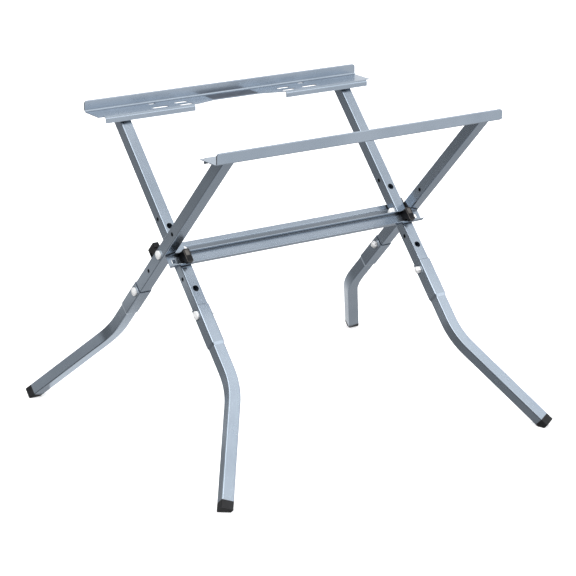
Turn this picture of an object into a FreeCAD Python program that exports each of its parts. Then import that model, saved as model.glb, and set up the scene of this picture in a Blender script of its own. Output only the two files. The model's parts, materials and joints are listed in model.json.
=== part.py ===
"""Folding X-frame stand for a benchtop table saw, standing open on its stops.

Millimetres.  +X runs along the rails to the right, +Y to the rear, +Z up.  The origin is on the
floor, under the middle of the stand.

Two frames cross at a pivot bolt on each side.  The inner frame carries the rear rail and stands
on the front feet; the outer frame carries the front rail and stands on the rear feet.  Each frame
is drawn upright first, with the pivot at the origin, its tubes along Z and its crossbar on the -Y
side ("bench" position).  The outer frame is turned half round Z, and then each frame leans over.
"""
import FreeCAD
import Part
import math
import os

from FreeCAD import Vector as V

# ---------------------------------------------------------------- driving dimensions
# square tube
TUBE = 25.0                 # outside width
WALL = 1.5
TUBE_CORNER = 2.5           # outside corner radius
HALF = TUBE / 2
BORE_SIDE = TUBE - 2 * WALL

# frames
PIVOT_Z = 390.0             # pivot height above the floor
LEAN = 43.45                # tubes lean from the vertical, degrees
INNER_X = 268.75            # centre of the inner frame's tubes
OUTER_X = 297.25            # centre of the outer frame's tubes

# lower legs, measured down the tube from the pivot
SOCKET_TOP = 125.0          # open end of the socket
SOCKET_END = 206.0          # start of its taper
TAPER_END = 212.0
SOCKET = 28.0               # socket outside width
SOCKET_BORE = 25.2
SOCKET_CORNER = 3.2
TUBE_END = 204.0            # the upper tube stops inside the socket
TUBE_BLANK = 400.0          # upper length before it is trimmed under the flange
BEND_AT = 300.0             # where the two leg axes would cross
BEND_RADIUS = 150.0         # at the tube's centre line
SPLAY = 27.3                # the foot part turns outward by this angle
FOOT_END = 260.0            # end of the cap, beyond BEND_AT
CAP = 17.0                  # visible length of the foot cap
CAP_PLUG = 22.0             # the part of the cap inside the tube
PLUG_GAP = 0.1

# rails: one bent sheet each, the same pressing front and rear
SHEET = 1.5
RAIL_HALF = 331.0
FLANGE_Z = 628.0            # top of the flange, where the saw stands
LIP = 22.5                  # lip height above the flange
LIP_Y = 253.5               # outer face of each lip
LIP_GAP = 1.0               # the lip is folded down on itself, with this gap inside
LIP_LEAF_END = 2.0          # the outer leaf ends this far above the flange
LIP_ROUND = 7.0             # rounded top corners of the lip
FOLD_IN = 4.0               # inside radius, lip to flange
FLANGE_STUB = 1.0           # flat drawn together with the lip
HEM_FOLD_IN = 4.0           # inside radius, flange to hem
HEM = 12.8                  # the flange's inner edge turns down by this much
HEM_END = 318.3             # outer end of the hem
HEM_START = 110.8           # inner end of the hem's two runs
RAIL_DEPTH = 67.6           # lip face to hem face
CORNER_DEPTH = 60.0         # the flange's outer corners
CUTBACK = ((56.0, 50.0), (78.0, 55.7), (97.0, 61.5))   # (x, depth): the middle is cut back
# slots in each half: (x, distance from the lip's face, length, width)
SLOTS = ((182.5, 12.8, 17.0, 7.5), (182.0, 46.5, 38.0, 10.5),
         (125.0, 31.5, 31.0, 9.5), (125.0, 52.5, 31.0, 9.5))
LABEL = (112.0, 38.0, 0.6)  # blank plate, let in flush with the rear flange
LABEL_DEPTH = 28.5          # its middle, from the lip's face

# crossbars, measured in the bench position
BAR_HALF = 305.0
BAR_TOP = -12.4             # clears the other frame's tubes by half a millimetre: the opening stop
BAR_BOTTOM = -38.5
BAR_SHEET = 1.5
BAR_FLANGE = 12.0           # depth of the channel, outside
BAR_FOLD_OUT = 2.5
BAR_FOLD_IN = 1.0
BAR_CORNER = (18.0, 8.5)    # cut off each end of the top flange
BAR_HOLE = 8.0              # square hole near each end
BAR_HOLE_Z = -26.0
BAR_HOLE_IN = 4.5           # from the other frame's tube, towards the middle
RIVET_Z = -34.2
RIVET_R = 1.5
RIVET_HEAD_R = 1.7          # stays on the web, clear of the lower fold
RIVET_TAIL_R = 1.8
RIVET_HEAD = 1.2

# plastic blocks on the bars: a stem in the channel and a longer head above its edges
STEM_TOP = -15.0
STEM_BOTTOM = -31.5
BLOCK_WIDTH = 14.0
BLOCK_Z = -25.45            # middle of the peg
HEAD_Z = -26.5              # middle of the head
HEAD_LENGTH = 29.0
HEAD_LIFT = 0.2             # head above the channel's edges
BLOCK_HEIGHT = 21.5         # above the bar's web
BLOCK_ROUND = 2.5
BLOCK_CHAMFER = 1.2
DISH = 0.8                  # shallow recess in the upper part of the head
DISH_BORDER = 2.4
DISH_BOTTOM = -27.0
PEG_R = 3.5
PEG_REACH = 5.0             # past the tube's outer face

# holes in the upper tubes
SIDE_HOLES = (75.5, -60.5)
SIDE_HOLE_R = 4.25
FACE_HOLES = (51.5, -89.0)  # on the inner frame's tubes only
FACE_HOLE_R = 6.5

# M8 fasteners
BOLT_R = 4.0
HOLE_R = 4.2
HEAD_R = 8.6
HEAD_H = 4.6
HEAD_RIM = 0.7              # the rim's share of the head's height
NUT_FLATS = 13.0
NUT_H = 6.5
NUT_CHAMFER = 1.02          # the chamfer starts this far out, as a share of the flats
LOCK_NUT_H = 7.0
LOCK_NUT_HEX = 5.5
COLLAR_R = 5.6
BOLT_TAIL = 3.0
PIVOT_TAIL = 1.5
WASHER_R = 7.5
WASHER_H = 1.6
BUSH_R = 6.0
BUSH_FLANGE_R = 11.0
BUSH_FLANGE = 3.1
RUNNING = 0.05              # radial clearance of the pivot bolt in its bush
LEG_BOLT_Z = -140.0

X_AXIS, Y_AXIS, Z_AXIS = V(1, 0, 0), V(0, 1, 0), V(0, 0, 1)
BIG = 2000.0
SMALL = 0.01
PAST = 1.0                  # how far a cutter runs past the piece it cuts


# ---------------------------------------------------------------- helpers
def rounded_square(side, corner, z, x=0.0, y=0.0):
    """Closed wire of a square with rounded corners, level at height z."""
    h, c = side / 2, corner
    k = c * (1 - math.sqrt(0.5))
    edges = []
    for turn in range(4):
        start, end = V(c - h, -h, 0), V(h - c, -h, 0)
        corner_mid, corner_end = V(h - k, k - h, 0), V(h, c - h, 0)
        side_edges = [Part.LineSegment(start, end).toShape(),
                      Part.Arc(end, corner_mid, corner_end).toShape()]
        for edge in side_edges:
            edge.rotate(V(), Z_AXIS, 90 * turn)
            edges.append(edge)
    wire = Part.Wire(Part.__sortEdges__(edges))
    wire.translate(V(x, y, z))
    return wire


def prism(side, corner, z0, z1, x=0.0):
    """Upright bar with a rounded square section, from z0 up to z1."""
    return Part.Face(rounded_square(side, corner, z0, x)).extrude(V(0, 0, z1 - z0))


def rod(radius, start, direction, length):
    return Part.makeCylinder(radius, length, start, direction)


def box(x0, x1, y0, y1, z0, z1):
    return Part.makeBox(x1 - x0, y1 - y0, z1 - z0, V(x0, y0, z0))


def polygon_solid(points, direction):
    """Solid from a closed outline of vectors, pushed along direction."""
    return Part.Face(Part.makePolygon(list(points) + [points[0]])).extrude(direction)


def fused(shapes):
    return shapes[0].multiFuse(shapes[1:]).removeSplitter()


def mirrored_x(shape):
    return shape.mirror(V(), X_AXIS)


def both_sides(shape):
    """A right-hand piece and its mirror image, as separate solids."""
    return Part.makeCompound([shape, mirrored_x(shape)])


def hexagon(flats, height, start, direction):
    """Hexagonal bar along direction, flats across its faces, top edge chamfered."""
    radius = flats / math.sqrt(3)
    points = [V(radius * math.cos(math.radians(60 * i)), radius * math.sin(math.radians(60 * i)), 0)
              for i in range(6)]
    bar = polygon_solid(points, V(0, 0, height))
    crown = flats / 2 * NUT_CHAMFER
    cone = Part.makeCone(crown + height, crown, height)
    bar = bar.common(cone)
    bar.Placement = FreeCAD.Placement(start, FreeCAD.Rotation(Z_AXIS, direction))
    return bar


def dome(radius, height, start, direction):
    """Domed head: a ball's cap on a round rim."""
    rise = height * (1 - HEAD_RIM)
    ball_r = (radius ** 2 + rise ** 2) / (2 * rise)
    ball = Part.makeSphere(ball_r, V(0, 0, height - ball_r))
    head = rod(radius, V(), Z_AXIS, height).common(ball)
    head.Placement = FreeCAD.Placement(start, FreeCAD.Rotation(Z_AXIS, direction))
    return head


# ---------------------------------------------------------------- from bench to floor
def stand_inner(shape):
    """Lean a bench piece of the inner frame back, so its top goes to the rear."""
    placed = shape.copy()
    placed.rotate(V(), X_AXIS, -LEAN)
    placed.translate(V(0, 0, PIVOT_Z))
    return placed


def stand_outer(shape):
    """Turn a bench piece half round and lean it forward."""
    placed = shape.copy()
    placed.rotate(V(), Z_AXIS, 180)
    placed.rotate(V(), X_AXIS, LEAN)
    placed.translate(V(0, 0, PIVOT_Z))
    return placed


# ---------------------------------------------------------------- tubes and legs (right-hand, bench)
def upper_tube(x, pivot_hole_r, face_holes):
    """Straight square tube from under the rail down into the leg's socket."""
    tube = prism(TUBE, TUBE_CORNER, -TUBE_END, TUBE_BLANK, x)
    tube = tube.cut(prism(BORE_SIDE, TUBE_CORNER - WALL, -TUBE_END - PAST, TUBE_BLANK + PAST, x))
    holes = [rod(SIDE_HOLE_R, V(x - TUBE, 0, z), X_AXIS, 2 * TUBE) for z in SIDE_HOLES]
    holes += [rod(FACE_HOLE_R, V(x, -TUBE, z), Y_AXIS, TUBE) for z in face_holes]
    holes.append(rod(pivot_hole_r, V(x - TUBE, 0, 0), X_AXIS, 2 * TUBE))
    holes.append(rod(HOLE_R, V(x - TUBE, 0, LEG_BOLT_Z), X_AXIS, 2 * TUBE))
    holes.append(rod(PEG_R + RUNNING, V(x, -TUBE, BLOCK_Z), Y_AXIS, TUBE))
    holes.append(rod(RIVET_R, V(x, -TUBE, RIVET_Z), Y_AXIS, TUBE))
    return tube.cut(Part.makeCompound(holes))


def trim_top(tube):
    """Cut a standing tube level with the underside of the flange it is welded to."""
    return tube.cut(box(-BIG, BIG, -BIG, BIG, FLANGE_Z - SHEET, BIG))


def bent_bar(side, corner, x, z_start, tail):
    """Square bar down from z_start, round the bend outward, and on to tail past the corner."""
    set_back = BEND_RADIUS * math.tan(math.radians(SPLAY / 2))
    bend_start = set_back - BEND_AT
    straight = prism(side, corner, bend_start, z_start, x)
    face = Part.Face(rounded_square(side, corner, bend_start, x))
    centre = V(x + BEND_RADIUS, 0, bend_start)
    bend = face.revolve(centre, V(0, -1, 0), SPLAY)
    face.rotate(centre, V(0, -1, 0), SPLAY)
    return fused([straight, bend, face.extrude(foot_direction() * (tail - set_back))])


def foot_direction():
    """Direction of the splayed part of a right-hand leg, in the bench position."""
    angle = math.radians(SPLAY)
    return V(math.sin(angle), 0, -math.cos(angle))


def foot_bar(side, corner, x, start, end):
    """Square bar along the splayed part, between two distances past the bend's corner."""
    face = Part.Face(rounded_square(side, corner, 0.0))
    face.rotate(V(), Y_AXIS, -SPLAY)
    face.translate(V(x, 0, -BEND_AT) + foot_direction() * start)
    return face.extrude(foot_direction() * (end - start))


def lower_leg(x):
    """Socket, taper, straight run, bend and splayed foot part, hollow all the way."""
    socket = prism(SOCKET, SOCKET_CORNER, -SOCKET_END, -SOCKET_TOP, x)
    taper = Part.makeLoft([rounded_square(SOCKET, SOCKET_CORNER, -SOCKET_END, x),
                           rounded_square(TUBE, TUBE_CORNER, -TAPER_END, x)], True, True)
    tube_end = FOOT_END - CAP
    body = fused([socket, taper, bent_bar(TUBE, TUBE_CORNER, x, -TAPER_END, tube_end)])
    body = body.cut(prism(SOCKET_BORE, TUBE_CORNER, -SOCKET_END, PAST - SOCKET_TOP, x))
    body = body.cut(bent_bar(BORE_SIDE, TUBE_CORNER - WALL, x, -SOCKET_END, tube_end + PAST))
    return body.cut(rod(HOLE_R, V(x - TUBE, 0, LEG_BOLT_Z), X_AXIS, 2 * TUBE))


def foot_cap(x):
    """Solid rubber end, flush with the tube, with a plug inside it."""
    start = FOOT_END - CAP
    cap = foot_bar(TUBE, TUBE_CORNER, x, start, FOOT_END)
    plug_side = BORE_SIDE - 2 * PLUG_GAP
    return cap.fuse(foot_bar(plug_side, TUBE_CORNER - WALL, x, start - CAP_PLUG, start))


def cut_at_floor(shape):
    return shape.cut(box(-BIG, BIG, -BIG, BIG, -BIG, 0))


# ---------------------------------------------------------------- crossbar and what is on it (bench)
def crossbar(tube_x, other_x):
    """Channel that faces away from the tubes; its web lies on their outer faces."""
    web_in = -HALF
    web_out = web_in - BAR_SHEET
    lip_y = web_in - BAR_FLANGE
    outer = box(-BAR_HALF, BAR_HALF, lip_y, web_in, BAR_BOTTOM, BAR_TOP)
    fold_edges = [e for e in outer.Edges if is_long(e) and abs(e.CenterOfMass.y - web_in) < SMALL]
    outer = outer.makeFillet(BAR_FOLD_OUT, fold_edges)
    inner = box(-BAR_HALF - PAST, BAR_HALF + PAST, lip_y - PAST, web_out,
                BAR_BOTTOM + BAR_SHEET, BAR_TOP - BAR_SHEET)
    fold_edges = [e for e in inner.Edges if is_long(e) and abs(e.CenterOfMass.y - web_out) < SMALL]
    bar = outer.cut(inner.makeFillet(BAR_FOLD_IN, fold_edges))
    cutters = []
    for side in (-1, 1):
        hole_x, half_hole = side * (other_x - BAR_HOLE_IN), BAR_HOLE / 2
        cutters.append(box(hole_x - half_hole, hole_x + half_hole, lip_y, 0,
                           BAR_HOLE_Z - half_hole, BAR_HOLE_Z + half_hole))
        cutters.append(rod(PEG_R + RUNNING, V(side * tube_x, lip_y, BLOCK_Z), Y_AXIS, -lip_y))
        cutters.append(rod(RIVET_R, V(side * tube_x, lip_y, RIVET_Z), Y_AXIS, -lip_y))
        along, deep = BAR_CORNER
        end = side * BAR_HALF
        low = BAR_TOP - BAR_FOLD_OUT
        corner = [V(end - side * along, lip_y, low), V(end, lip_y - PAST, low), V(end, lip_y + deep, low)]
        cutters.append(polygon_solid(corner, V(0, 0, 2 * BAR_FOLD_OUT)))
    return bar.cut(Part.makeCompound(cutters))


def is_long(edge):
    return edge.Length > BAR_HALF


def bar_rivet(x):
    """Round-head rivet through the bar's web and the tube's wall."""
    face_y = -(HALF + BAR_SHEET)
    grip = BAR_SHEET + WALL
    shank = rod(RIVET_R, V(x, face_y, RIVET_Z), Y_AXIS, grip)
    head = dome(RIVET_HEAD_R, RIVET_HEAD, V(x, face_y, RIVET_Z), V(0, -1, 0))
    tail = rod(RIVET_TAIL_R, V(x, face_y + grip, RIVET_Z), Y_AXIS, RIVET_HEAD)
    return fused([shank, head, tail])


def bar_block(x):
    """Plastic block: stem in the channel, dished head over its edges, peg through web and tube."""
    face_y = -(HALF + BAR_SHEET)
    half_w, half_l = BLOCK_WIDTH / 2, HEAD_LENGTH / 2
    top_y = face_y - BLOCK_HEIGHT
    base_y = -(HALF + BAR_FLANGE + HEAD_LIFT)
    head = box(x - half_w, x + half_w, top_y, base_y, HEAD_Z - half_l, HEAD_Z + half_l)
    upright = [e for e in head.Edges if abs(e.Length - (base_y - top_y)) < SMALL]
    head = head.makeFillet(BLOCK_ROUND, upright)
    rim = [e for e in head.Edges if abs(e.BoundBox.YMax - top_y) < SMALL]
    head = head.makeChamfer(BLOCK_CHAMFER, rim)
    dish_w, dish_top = half_w - DISH_BORDER, HEAD_Z + half_l - DISH_BORDER
    head = head.cut(box(x - dish_w, x + dish_w, top_y - PAST, top_y + DISH, DISH_BOTTOM, dish_top))
    stem = box(x - half_w, x + half_w, base_y, face_y, STEM_BOTTOM, STEM_TOP)
    peg = rod(PEG_R, V(x, face_y, BLOCK_Z), Y_AXIS, PEG_REACH - face_y - HALF)
    return fused([head, stem, peg])


# ---------------------------------------------------------------- fasteners (right-hand, bench)
def leg_bolt(x):
    """Domed bolt through socket and tube, head outward."""
    face = SOCKET / 2
    length = SOCKET + NUT_H + BOLT_TAIL
    start = V(x + face, 0, LEG_BOLT_Z)
    return rod(BOLT_R, start, V(-1, 0, 0), length).fuse(dome(HEAD_R, HEAD_H, start, X_AXIS))


def leg_nut(x):
    start = V(x - SOCKET / 2, 0, LEG_BOLT_Z)
    nut = hexagon(NUT_FLATS, NUT_H, start, V(-1, 0, 0))
    return nut.cut(rod(BOLT_R, start + X_AXIS * PAST, V(-1, 0, 0), NUT_H + 2 * PAST))


def pivot_bolt():
    """Bolt through both tubes; its head bears on the outer tube."""
    head_x = OUTER_X + HALF
    length = head_x - INNER_X + HALF + WASHER_H + LOCK_NUT_H + PIVOT_TAIL
    return rod(BOLT_R, V(head_x, 0, 0), V(-1, 0, 0), length).fuse(
        dome(HEAD_R, HEAD_H, V(head_x, 0, 0), X_AXIS))


def pivot_bush():
    """Flanged bush in the inner tube; the flange keeps the two tubes apart."""
    inner_face, outer_face = INNER_X - HALF, INNER_X + HALF
    bush = rod(BUSH_R, V(inner_face, 0, 0), X_AXIS, TUBE)
    bush = bush.fuse(rod(BUSH_FLANGE_R, V(outer_face, 0, 0), X_AXIS, BUSH_FLANGE))
    return bush.cut(rod(BOLT_R + RUNNING, V(inner_face - PAST, 0, 0), X_AXIS, 2 * TUBE))


def pivot_washer():
    start = V(INNER_X - HALF - 2 * RUNNING, 0, 0)
    washer = rod(WASHER_R, start, V(-1, 0, 0), WASHER_H)
    return washer.cut(rod(BOLT_R, start + X_AXIS * PAST, V(-1, 0, 0), WASHER_H + 2 * PAST))


def pivot_nut():
    """Lock nut with a round collar."""
    start = V(INNER_X - HALF - 2 * RUNNING - WASHER_H, 0, 0)
    nut = hexagon(NUT_FLATS, LOCK_NUT_HEX, start, V(-1, 0, 0))
    collar = rod(COLLAR_R, start - X_AXIS * LOCK_NUT_HEX, V(-1, 0, 0), LOCK_NUT_H - LOCK_NUT_HEX)
    return nut.fuse(collar).cut(rod(BOLT_R, start + X_AXIS * PAST, V(-1, 0, 0), LOCK_NUT_H + 2 * PAST))


# ---------------------------------------------------------------- rails (rear position)
def at_depth(x, depth, z=FLANGE_Z):
    """Point on the rear rail, by its distance in from the lip's outer face."""
    return V(x, LIP_Y - depth, z)


def heading(degrees):
    """Unit vector across X: 0 points to the rear, 90 up."""
    return V(0, math.cos(math.radians(degrees)), math.sin(math.radians(degrees)))


def swung(point, centre, degrees):
    return centre + FreeCAD.Rotation(X_AXIS, degrees).multVec(point - centre)


def sheet_section(start, angle, steps):
    """Face across X of a bent sheet, followed along its middle from start.

    A step is a straight length, or a turn (degrees, radius of the sheet's middle), positive to
    the left.
    """
    place, edges, ends = start, [], []
    for step in steps:
        aside = heading(angle + 90)
        corners = [place + aside * (SHEET / 2), place - aside * (SHEET / 2)]
        ends = ends or corners
        if isinstance(step, tuple):
            turn, radius = step
            centre = place + aside * math.copysign(radius, turn)
            edges += [Part.Arc(c, swung(c, centre, turn / 2), swung(c, centre, turn)).toShape()
                      for c in corners]
            place, angle = swung(place, centre, turn), angle + turn
        else:
            run = heading(angle) * step
            edges += [Part.LineSegment(c, c + run).toShape() for c in corners]
            place = place + run
    aside = heading(angle + 90) * (SHEET / 2)
    edges.append(Part.LineSegment(ends[0], ends[1]).toShape())
    edges.append(Part.LineSegment(place + aside, place - aside).toShape())
    return Part.Face(Part.Wire(Part.__sortEdges__(edges)))


def lip_section():
    """Lip folded down on itself, its fold into the flange, and a short start of the flange."""
    top_radius = (LIP_GAP + SHEET) / 2
    fold_radius = FOLD_IN + SHEET / 2
    leaf_end = FLANGE_Z + LIP_LEAF_END
    straight_top = FLANGE_Z + LIP - top_radius - SHEET / 2
    fold_start = FLANGE_Z - SHEET / 2 + fold_radius
    return sheet_section(V(0, LIP_Y - SHEET / 2, leaf_end), 90,
                         [straight_top - leaf_end, (180, top_radius), straight_top - fold_start,
                          (-90, fold_radius), FLANGE_STUB])


def flange_start():
    """Distance from the lip's outer face to the end of lip_section."""
    return 2 * SHEET + LIP_GAP + FOLD_IN + FLANGE_STUB


def hem_section():
    """The fold at the flange's inner edge and the hem below it."""
    radius = HEM_FOLD_IN + SHEET / 2
    start = at_depth(0, hem_fold_start(), FLANGE_Z - SHEET / 2)
    return sheet_section(start, 180, [(90, radius), HEM - SHEET / 2 - radius])


def hem_fold_start():
    return RAIL_DEPTH - HEM_FOLD_IN - SHEET


def run_along_x(face, x0, x1):
    placed = face.copy()
    placed.translate(V(x0, 0, 0))
    return placed.extrude(V(x1 - x0, 0, 0))


def flange_plate():
    """Flat part of the flange: full depth behind the hem, cut back in the middle."""
    near, far = flange_start(), hem_fold_start()
    outline = [(RAIL_HALF, near), (RAIL_HALF, CORNER_DEPTH), (HEM_END, CORNER_DEPTH),
               (HEM_END, far), (HEM_START, far)] + list(reversed(CUTBACK))
    right = [at_depth(x, depth, FLANGE_Z - SHEET) for x, depth in outline]
    left = [V(-p.x, p.y, p.z) for p in reversed(right)]
    return polygon_solid(right + left, V(0, 0, SHEET))


def slot_cutter(x, depth, length, width):
    """Round-ended slot along X, through the flange."""
    radius, half_run = width / 2, (length - width) / 2
    low, high = FLANGE_Z - SHEET - PAST, FLANGE_Z + PAST
    ends = [rod(radius, at_depth(x + s * half_run, depth, low), Z_AXIS, high - low) for s in (-1, 1)]
    y = LIP_Y - depth
    run = box(x - half_run, x + half_run, y - radius, y + radius, low, high)
    return fused(ends + [run])


def lip_corner_cutter(side):
    """What is left outside the rounded top corner at one end of the lip."""
    x, z = side * (RAIL_HALF - LIP_ROUND), FLANGE_Z + LIP - LIP_ROUND
    back, deep = LIP_Y - 2 * LIP_ROUND, 3 * LIP_ROUND
    beyond = x + side * 2 * LIP_ROUND
    corner = box(min(x, beyond), max(x, beyond), back, back + deep, z, z + 2 * LIP_ROUND)
    return corner.cut(rod(LIP_ROUND, V(x, back, z), Y_AXIS, deep))


def rail():
    """Lip, flange and hem of one sheet, with its slots, in the rear position."""
    pieces = [run_along_x(lip_section(), -RAIL_HALF, RAIL_HALF), flange_plate()]
    pieces += [run_along_x(hem_section(), x0, x1)
               for x0, x1 in ((HEM_START, HEM_END), (-HEM_END, -HEM_START))]
    cutters = [lip_corner_cutter(-1), lip_corner_cutter(1)]
    for x, depth, length, width in SLOTS:
        cutters += [slot_cutter(s * x, depth, length, width) for s in (-1, 1)]
    return fused(pieces).cut(Part.makeCompound(cutters))


def rear_rail():
    """The rail with a shallow pocket for its label."""
    return rail().cut(label_plate())


def front_rail():
    """The same rail, turned to face the rear one."""
    body = rail()
    body.rotate(V(), Z_AXIS, 180)
    return body


def label_plate():
    width, depth, thick = LABEL
    y = LIP_Y - LABEL_DEPTH
    return box(-width / 2, width / 2, y - depth / 2, y + depth / 2, FLANGE_Z - thick, FLANGE_Z)


# ---------------------------------------------------------------- all sub-parts
def build():
    parts = {"rear_rail": rear_rail(), "front_rail": front_rail(), "label_plate": label_plate()}

    # one row per frame: name, tube x, other frame's tube x, pivot hole, face holes, how it
    # stands, bar's name
    frames = (("inner", INNER_X, OUTER_X, BUSH_R, FACE_HOLES, stand_inner, "front"),
              ("outer", OUTER_X, INNER_X, HOLE_R, (), stand_outer, "rear"))
    for name, x, other_x, pivot_r, face_holes, stand, bar in frames:
        pairs = ((name + "_tube", upper_tube(x, pivot_r, face_holes)),
                 (name + "_leg", lower_leg(x)), (name + "_foot", foot_cap(x)),
                 (bar + "_block", bar_block(x)))
        for node, piece in pairs:
            for shape in (stand(piece), stand(mirrored_x(piece))):
                side = "_right" if shape.BoundBox.Center.x > 0 else "_left"
                if "tube" in node:
                    shape = trim_top(shape)
                if "foot" in node:
                    shape = cut_at_floor(shape)
                parts[node + side] = shape
        parts[bar + "_crossbar"] = stand(crossbar(x, other_x))
        parts[bar + "_bar_rivets"] = stand(both_sides(bar_rivet(x)))
        parts[name + "_leg_bolts"] = stand(both_sides(leg_bolt(x)))
        parts[name + "_leg_nuts"] = stand(both_sides(leg_nut(x)))

    parts["pivot_bolts"] = stand_outer(both_sides(pivot_bolt()))
    parts["pivot_washers"] = stand_outer(both_sides(pivot_washer()))
    parts["pivot_nuts"] = stand_outer(both_sides(pivot_nut()))
    parts["pivot_bushes"] = stand_inner(both_sides(pivot_bush()))
    return parts


def main():
    os.makedirs("parts", exist_ok=True)
    for node, shape in build().items():
        solids = shape.Solids
        broken = [s for s in solids if not s.isValid() or s.Volume <= 0]
        if not solids or broken:
            raise RuntimeError("bad solid in " + node)
        kept = solids[0] if len(solids) == 1 else Part.makeCompound(solids)
        kept.exportStep(os.path.join("parts", node + ".step"))
        print("%-24s %d solid(s) %9.0f mm3" % (node, len(solids), sum(s.Volume for s in solids)))


main()
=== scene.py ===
"""Looks of the folding X-frame stand: painted tube and sheet, zinc fasteners, rubber feet."""

import json
import math

import bpy
from mathutils import Euler, Matrix, Vector

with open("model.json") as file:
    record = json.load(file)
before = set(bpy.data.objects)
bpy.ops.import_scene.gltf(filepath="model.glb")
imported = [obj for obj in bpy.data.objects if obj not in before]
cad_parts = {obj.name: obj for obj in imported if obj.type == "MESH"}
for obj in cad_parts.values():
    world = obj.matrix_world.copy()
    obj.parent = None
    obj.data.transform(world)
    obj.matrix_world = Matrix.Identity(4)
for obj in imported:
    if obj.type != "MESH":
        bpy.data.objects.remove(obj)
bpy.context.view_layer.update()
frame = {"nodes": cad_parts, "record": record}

# ---------------------------------------------------------------- named values (metres, degrees)
VIEW_AZIMUTH = -33.71       # 0 looks along +Y, negative stands to the left
VIEW_ELEVATION = 18.27
VIEW_ROLL = 0.26
VIEW_DISTANCE = 4.156
VIEW_TARGET = Vector((-0.007, 0.0, 0.268))
SENSOR = 36.0
LENS = 127.1

STEEL = (0.42, 0.49, 0.57)          # linear
STEEL_LIGHT = (0.48, 0.55, 0.63)
STEEL_DARK = (0.35, 0.41, 0.48)
# lighter edges: partly rubbed wear, partly a painted highlight where the folds catch the light
STEEL_RUBBED_GLINT = (0.66, 0.69, 0.74)
STEEL_PAINTED_SHADE = (0.02, 0.02, 0.024)  # painted shade inside tubes and in tight corners
ZINC = (0.96, 0.96, 0.96)
ZINC_DULL = (0.84, 0.85, 0.86)
BLACK = (0.012, 0.012, 0.013)
BLACK_DUSTY = (0.026, 0.026, 0.028)
BLACK_WORN = (0.045, 0.045, 0.048)
PLASTIC = (0.006, 0.006, 0.007)
PLASTIC_HAZE = (0.012, 0.012, 0.013)
PLASTIC_EDGE = (0.06, 0.06, 0.062)
DISH_GREY = (0.10, 0.095, 0.09)
DISH_WORN = (0.15, 0.14, 0.13)
LABEL_DARK = (0.030, 0.036, 0.050)
LABEL_RUBBED = (0.08, 0.09, 0.11)
FLOOR_COLOUR = (0.85, 0.85, 0.85)
FLOOR_GLOW = 0.35
FLOOR_HALF = 30.0           # half the side of the floor

EDGE_RADIUS = 0.0006        # rounding of sharp edges
EDGE_ANGLE = 35             # sharper than this counts as an edge

# where the floors of the plastic blocks' dishes lie
PIVOT_HEIGHT = 0.39
BLOCK_DIRECTION = (0.0, 0.7260, 0.6877)
DISH_AT = 0.0347            # from the pivot along the block's direction

# studio light, as brightness seen in reflections
ROOM = 0.10                 # the dark left side of the room, and the least anywhere
# soft glows, and soft shades where the brightness is negative:
# direction, cosine where each begins, cosine where it is full, brightness
GLOWS = (((1.0, 0.0, 0.0), -0.75, 0.35, 0.65),
         ((0.53, -0.70, 0.45), 0.90, 0.98, 0.16),
         ((0.53, -0.62, 0.58), 0.965, 0.995, 0.60),
         ((-0.14, -0.45, 0.88), 0.86, 0.95, 1.80),
         ((0.53, 0.79, 0.31), 0.85, 0.97, 0.22),
         ((-0.53, 0.60, 0.60), 0.82, 0.95, 0.50),
         ((-0.45, 0.60, -0.66), 0.62, 0.80, 0.06),
         ((-0.05, 0.99, -0.10), 0.93, 0.99, -0.28),
         ((-0.95, 0.25, 0.18), 0.97, 0.995, 0.36),
         ((0.50, 0.30, -0.81), 0.80, 0.95, -0.29))
# pale cards, seen only in reflections: x, y, z, width, depth, brightness
CARDS = ((-0.78, 0.93, 0.004, 0.42, 0.34, 0.25), (-0.26, 0.29, 0.004, 0.24, 0.16, 0.50),
         (1.4, -1.12, 2.0, 2.6, 0.50, 0.34))
CARD_TURNS_AT = 1.0         # cards lower than this face up, higher ones face down
BACKDROP = 0.98             # what the camera sees past the floor
ROOM_COLOUR = (0.97, 0.98, 1.0)
# suns, hidden from reflections: name, azimuth, elevation, strength, angle of spread
SUNS = (("key", 35.0, 60.0, 1.2, 40.0), ("left_fill", -62.0, 38.0, 3.0, 50.0))


# ---------------------------------------------------------------- camera
def make_camera():
    azimuth, elevation = math.radians(VIEW_AZIMUTH), math.radians(VIEW_ELEVATION)
    back = Vector((math.sin(azimuth) * math.cos(elevation),
                   -math.cos(azimuth) * math.cos(elevation), math.sin(elevation)))
    data = bpy.data.cameras.new("camera")
    data.sensor_width = SENSOR
    data.lens = LENS
    data.clip_start, data.clip_end = 0.1, 100.0
    camera = bpy.data.objects.new("camera", data)
    bpy.context.scene.collection.objects.link(camera)
    facing = (-back).to_track_quat("-Z", "Y").to_matrix().to_4x4()
    roll = Matrix.Rotation(math.radians(VIEW_ROLL), 4, "Z")
    camera.matrix_world = Matrix.Translation(VIEW_TARGET + back * VIEW_DISTANCE) @ facing @ roll
    bpy.context.scene.camera = camera


# ---------------------------------------------------------------- node helpers
# sockets of a mix node that mixes colours
MIX_FIRST = 6
MIX_SECOND = 7
MIX_RESULT = 2


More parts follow.
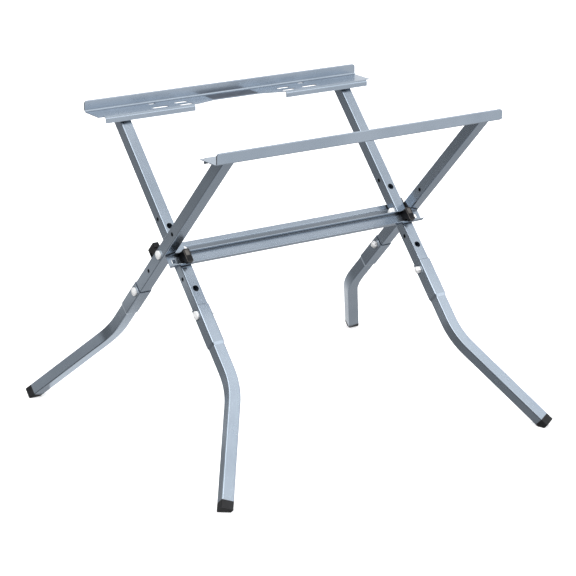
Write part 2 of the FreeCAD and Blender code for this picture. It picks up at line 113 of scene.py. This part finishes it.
class Nodes:
    """A material's node tree, with a short way to add and join nodes."""

    def __init__(self, name):
        self.material = bpy.data.materials.new(name)
        self.material.use_nodes = True
        self.tree = self.material.node_tree
        self.shader = self.tree.nodes["Principled BSDF"]
        coords = self.add("ShaderNodeTexCoord")
        self.place = coords.outputs["Object"]

    def add(self, kind, **settings):
        node = self.tree.nodes.new(kind)
        for key, value in settings.items():
            setattr(node, key, value)
        return node

    def join(self, source, target):
        self.tree.links.new(source, target)

    def noise(self, scale, detail=3.0, roughness=0.5, stretch=None):
        node = self.add("ShaderNodeTexNoise")
        node.inputs["Scale"].default_value = scale
        node.inputs["Detail"].default_value = detail
        node.inputs["Roughness"].default_value = roughness
        source = self.place
        if stretch:
            mapping = self.add("ShaderNodeMapping")
            mapping.inputs["Scale"].default_value = stretch
            self.join(source, mapping.inputs["Vector"])
            source = mapping.outputs["Vector"]
        self.join(source, node.inputs["Vector"])
        return node.outputs["Fac"]

    def spread(self, value, low, high, out_low=0.0, out_high=1.0):
        """Maps low..high to out_low..out_high, held at both ends."""
        node = self.add("ShaderNodeMapRange")
        node.inputs["From Min"].default_value = low
        node.inputs["From Max"].default_value = high
        node.inputs["To Min"].default_value = out_low
        node.inputs["To Max"].default_value = out_high
        self.join(value, node.inputs["Value"])
        return node.outputs["Result"]

    def blend(self, amount, first, second):
        """Colour mix; first and second are colours or sockets."""
        node = self.add("ShaderNodeMix", data_type="RGBA")
        self.join(amount, node.inputs["Factor"])
        for value, key in ((first, MIX_FIRST), (second, MIX_SECOND)):
            if isinstance(value, tuple):
                node.inputs[key].default_value = (*value, 1.0)
            else:
                self.join(value, node.inputs[key])
        return node.outputs[MIX_RESULT]

    def times(self, first, second):
        node = self.add("ShaderNodeMath", operation="MULTIPLY")
        self.join(first, node.inputs[0])
        self.join(second, node.inputs[1])
        return node.outputs["Value"]

    def edges(self, radius, low, high):
        """1 on outside and inside edges, 0 on flats: how far the rounded normal leaves the true one."""
        bevel = self.add("ShaderNodeBevel", samples=8)
        bevel.inputs["Radius"].default_value = radius
        geometry = self.add("ShaderNodeNewGeometry")
        dot = self.add("ShaderNodeVectorMath", operation="DOT_PRODUCT")
        self.join(bevel.outputs["Normal"], dot.inputs[0])
        self.join(geometry.outputs["Normal"], dot.inputs[1])
        return self.spread(dot.outputs["Value"], low, high, 1.0, 0.0)

    def openness(self, distance):
        """1 on open faces, 0 deep inside tubes and channels."""
        node = self.add("ShaderNodeAmbientOcclusion", samples=8)
        node.inputs["Distance"].default_value = distance
        return node.outputs["AO"]

    def bump(self, heights):
        """Chains (height socket, strength, distance) triples into the shader's normal."""
        normal = None
        for height, strength, distance in heights:
            node = self.add("ShaderNodeBump")
            node.inputs["Strength"].default_value = strength
            node.inputs["Distance"].default_value = distance
            self.join(height, node.inputs["Height"])
            if normal:
                self.join(normal, node.inputs["Normal"])
            normal = node.outputs["Normal"]
        self.join(normal, self.shader.inputs["Normal"])

    def set(self, **values):
        for key, value in values.items():
            self.shader.inputs[key.replace("_", " ")].default_value = value


# ---------------------------------------------------------------- materials
def painted_steel(name="painted_steel", inside_open=0.62):
    """Glossy metallic finish: fine flakes, faint orange peel, edges lighter from rubbing and a painted
    highlight, painted shade inside and in tight corners.
    """
    n = Nodes(name)
    cloud = n.spread(n.noise(7.0, 4.0), 0.35, 0.65)
    colour = n.blend(cloud, STEEL, STEEL_LIGHT)
    flakes = n.noise(1400.0, 1.0)
    colour = n.blend(n.spread(flakes, 0.62, 0.74, 0.0, 0.35), colour, STEEL_LIGHT)
    # edges lightened: partly rubbed wear, partly a painted highlight along the folds
    edge = n.edges(0.0012, 0.80, 0.985)
    rub = n.times(edge, n.spread(n.noise(60.0, 5.0, 0.6), 0.38, 0.62, 0.10, 0.60))
    colour = n.blend(rub, colour, STEEL_RUBBED_GLINT)
    dust = n.spread(n.noise(24.0, 6.0, 0.65), 0.56, 0.78, 0.0, 0.22)
    colour = n.blend(dust, colour, STEEL_DARK)
    # painted shade: darker in tight corners, creases and steps, and deep inside tubes and channels
    crease_shade = n.spread(n.openness(0.004), 0.50, 0.93, 0.92, 0.0)
    colour = n.blend(crease_shade, colour, STEEL_PAINTED_SHADE)
    inside = n.spread(n.openness(0.018), 0.12, inside_open, 0.94, 0.0)
    n.join(n.blend(inside, colour, STEEL_PAINTED_SHADE), n.shader.inputs["Base Color"])
    n.join(n.spread(n.noise(16.0, 5.0), 0.3, 0.7, 0.19, 0.28), n.shader.inputs["Roughness"])
    n.set(Metallic=0.94)
    n.bump([(n.noise(190.0, 2.0), 0.03, 0.0004), (flakes, 0.03, 0.0001)])
    return n.material


def channel_steel():
    """The same finish on the open crossbars, with stronger painted shade in their corners."""
    return painted_steel("channel_steel", 0.80)


def zinc_plate():
    """Bright plating, satin from barrel finishing, dulled here and there."""
    n = Nodes("zinc_plate")
    dull = n.spread(n.noise(90.0, 5.0), 0.42, 0.7)
    n.join(n.blend(dull, ZINC, ZINC_DULL), n.shader.inputs["Base Color"])
    n.join(n.spread(dull, 0.0, 1.0, 0.30, 0.45), n.shader.inputs["Roughness"])
    n.set(Metallic=0.15)
    n.bump([(n.noise(700.0, 2.0), 0.12, 0.0002), (n.noise(120.0, 3.0), 0.1, 0.0004)])
    return n.material


def foot_rubber():
    """Moulded rubber with a fine grain, greyed by dust on its edges."""
    n = Nodes("foot_rubber")
    dust = n.spread(n.noise(45.0, 6.0, 0.65), 0.45, 0.75)
    edge = n.times(n.edges(0.0018, 0.8, 0.99), n.spread(n.noise(120.0, 3.0), 0.35, 0.6, 0.2, 0.8))
    colour = n.blend(dust, BLACK, BLACK_DUSTY)
    n.join(n.blend(edge, colour, BLACK_WORN), n.shader.inputs["Base Color"])
    n.join(n.spread(dust, 0.0, 1.0, 0.5, 0.72), n.shader.inputs["Roughness"])
    n.set(Specular_IOR_Level=0.30)
    n.bump([(n.noise(900.0, 2.0), 0.25, 0.0003), (n.noise(150.0, 3.0), 0.12, 0.0005)])
    return n.material


def moulded_plastic():
    """Black moulded nylon with a spark-eroded grain; the dishes of the blocks are greyer."""
    n = Nodes("moulded_plastic")
    haze = n.spread(n.noise(60.0, 4.0), 0.4, 0.7)
    edge = n.times(n.edges(0.0008, 0.8, 0.99), n.spread(n.noise(200.0, 3.0), 0.3, 0.6, 0.1, 0.4))
    colour = n.blend(haze, PLASTIC, PLASTIC_HAZE)
    colour = n.blend(n.spread(dish_height(n), 0.0002, 0.0004, 1.0, 0.0),
                     colour, n.blend(haze, DISH_GREY, DISH_WORN))
    n.join(n.blend(edge, colour, PLASTIC_EDGE), n.shader.inputs["Base Color"])
    n.join(n.spread(haze, 0.0, 1.0, 0.32, 0.48), n.shader.inputs["Roughness"])
    n.set(Specular_IOR_Level=0.30)
    n.bump([(n.noise(1100.0, 2.0), 0.18, 0.0002)])
    return n.material


def dish_height(n):
    """How far a point lies above or below the level of the dish's floor, along the block."""
    mirrored = n.add("ShaderNodeVectorMath", operation="ABSOLUTE")
    n.join(n.place, mirrored.inputs[0])
    along = n.add("ShaderNodeVectorMath", operation="DOT_PRODUCT")
    n.join(mirrored.outputs["Vector"], along.inputs[0])
    along.inputs[1].default_value = BLOCK_DIRECTION
    off = n.add("ShaderNodeMath", operation="SUBTRACT")
    n.join(along.outputs["Value"], off.inputs[0])
    off.inputs[1].default_value = PIVOT_HEIGHT * BLOCK_DIRECTION[2] + DISH_AT
    gap = n.add("ShaderNodeMath", operation="ABSOLUTE")
    n.join(off.outputs["Value"], gap.inputs[0])
    return gap.outputs["Value"]


def blank_label():
    """Dark printed film with nothing on it, slightly rubbed."""
    n = Nodes("blank_label")
    rub = n.spread(n.noise(80.0, 5.0, stretch=(1.0, 6.0, 1.0)), 0.5, 0.75, 0.0, 0.5)
    n.join(n.blend(rub, LABEL_DARK, LABEL_RUBBED), n.shader.inputs["Base Color"])
    n.join(n.spread(n.noise(30.0, 4.0), 0.3, 0.7, 0.34, 0.46), n.shader.inputs["Roughness"])
    n.set(Specular_IOR_Level=0.30)
    n.bump([(n.noise(260.0, 2.0), 0.06, 0.0003)])
    return n.material


MAKERS = {"paint": painted_steel, "zinc": zinc_plate, "rubber": foot_rubber,
          "black_plastic": moulded_plastic, "label": blank_label}


def dress_cad_nodes():
    """Gives every CAD node its slot's material, smooth shading and softened edges."""
    made = {slot: make() for slot, make in MAKERS.items()}
    channel = channel_steel()
    slots = {part["node"]: part["material_slot"] for part in frame["record"]["subparts"]}
    for name, piece in frame["nodes"].items():
        piece.data.materials.clear()
        piece.data.materials.append(channel if name.endswith("_crossbar") else made[slots[name]])
        for face in piece.data.polygons:
            face.use_smooth = True
        soften(piece)


def soften(piece):
    """Narrow bevel on sharp edges, with normals that keep the flats flat."""
    bevel = piece.modifiers.new("edge_round", "BEVEL")
    bevel.width = EDGE_RADIUS
    bevel.segments = 2
    bevel.limit_method = "ANGLE"
    bevel.angle_limit = math.radians(EDGE_ANGLE)
    bevel.use_clamp_overlap = True
    bevel.harden_normals = True
    weighted = piece.modifiers.new("flat_faces", "WEIGHTED_NORMAL")
    weighted.keep_sharp = True


# ---------------------------------------------------------------- stage and light
def make_floor():
    mesh = bpy.data.meshes.new("floor")
    half = FLOOR_HALF
    mesh.from_pydata([(-half, -half, 0), (half, -half, 0), (half, half, 0), (-half, half, 0)],
                     [], [(0, 1, 2, 3)])
    floor = bpy.data.objects.new("floor", mesh)
    bpy.context.scene.collection.objects.link(floor)
    material = bpy.data.materials.new("floor")
    material.use_nodes = True
    shader = material.node_tree.nodes["Principled BSDF"]
    shader.inputs["Base Color"].default_value = (*FLOOR_COLOUR, 1.0)
    shader.inputs["Roughness"].default_value = 0.9
    shader.inputs["Specular IOR Level"].default_value = 0.1
    shader.inputs["Emission Color"].default_value = (1.0, 1.0, 1.0, 1.0)
    shader.inputs["Emission Strength"].default_value = FLOOR_GLOW
    mesh.materials.append(material)
    floor.visible_diffuse = False
    floor.visible_glossy = False


def add_card(name, x, y, z, width, depth, brightness):
    """Level pale card, turned up when it lies on the floor and down when it hangs above."""
    data = bpy.data.lights.new(name, "AREA")
    data.shape = "RECTANGLE"
    data.size, data.size_y = width, depth
    data.energy = brightness * math.pi * width * depth
    light = bpy.data.objects.new(name, data)
    bpy.context.scene.collection.objects.link(light)
    light.location = (x, y, z)
    light.rotation_euler = Euler((math.pi if z < CARD_TURNS_AT else 0.0, 0.0, 0.0))
    light.visible_camera = False


def add_sun(name, azimuth, elevation, strength, spread):
    data = bpy.data.lights.new(name, "SUN")
    data.energy = strength
    data.angle = math.radians(spread)
    light = bpy.data.objects.new(name, data)
    bpy.context.scene.collection.objects.link(light)
    light.rotation_euler = Euler((math.radians(90 - elevation), 0, math.radians(azimuth)))
    light.visible_glossy = False


def make_world():
    """A room that is dark on the left, with soft glows, and a plain backdrop for the camera."""
    world = bpy.data.worlds.new("studio")
    bpy.context.scene.world = world
    world.use_nodes = True
    tree = world.node_tree
    coords = tree.nodes.new("ShaderNodeTexCoord")
    strength = None
    for direction, begins, full, brightness in GLOWS:
        dot = tree.nodes.new("ShaderNodeVectorMath")
        dot.operation = "DOT_PRODUCT"
        tree.links.new(coords.outputs["Generated"], dot.inputs[0])
        dot.inputs[1].default_value = Vector(direction).normalized()
        glow = tree.nodes.new("ShaderNodeMapRange")
        glow.interpolation_type = "SMOOTHSTEP"
        ends = (("From Min", begins), ("From Max", full), ("To Min", 0.0), ("To Max", brightness))
        for key, number in ends:
            glow.inputs[key].default_value = number
        tree.links.new(dot.outputs["Value"], glow.inputs["Value"])
        total = tree.nodes.new("ShaderNodeMath")
        total.operation = "ADD"
        tree.links.new(glow.outputs["Result"], total.inputs[0])
        if strength:
            tree.links.new(strength, total.inputs[1])
        else:
            total.inputs[1].default_value = ROOM
        strength = total.outputs["Value"]
    held = tree.nodes.new("ShaderNodeMath")
    held.operation = "MAXIMUM"
    tree.links.new(strength, held.inputs[0])
    held.inputs[1].default_value = ROOM
    seen = tree.nodes.new("ShaderNodeLightPath")
    mix = tree.nodes.new("ShaderNodeMix")
    tree.links.new(seen.outputs["Is Camera Ray"], mix.inputs["Factor"])
    tree.links.new(held.outputs["Value"], mix.inputs["A"])
    mix.inputs["B"].default_value = BACKDROP
    background = tree.nodes["Background"]
    background.inputs["Color"].default_value = (*ROOM_COLOUR, 1.0)
    tree.links.new(mix.outputs["Result"], background.inputs["Strength"])


def make_lights():
    make_world()
    for sun in SUNS:
        add_sun(*sun)
    for index, card in enumerate(CARDS):
        add_card("card_%d" % index, *card)


make_camera()
dress_cad_nodes()
make_floor()
make_lights()
bpy.context.scene.view_settings.view_transform = "Standard"
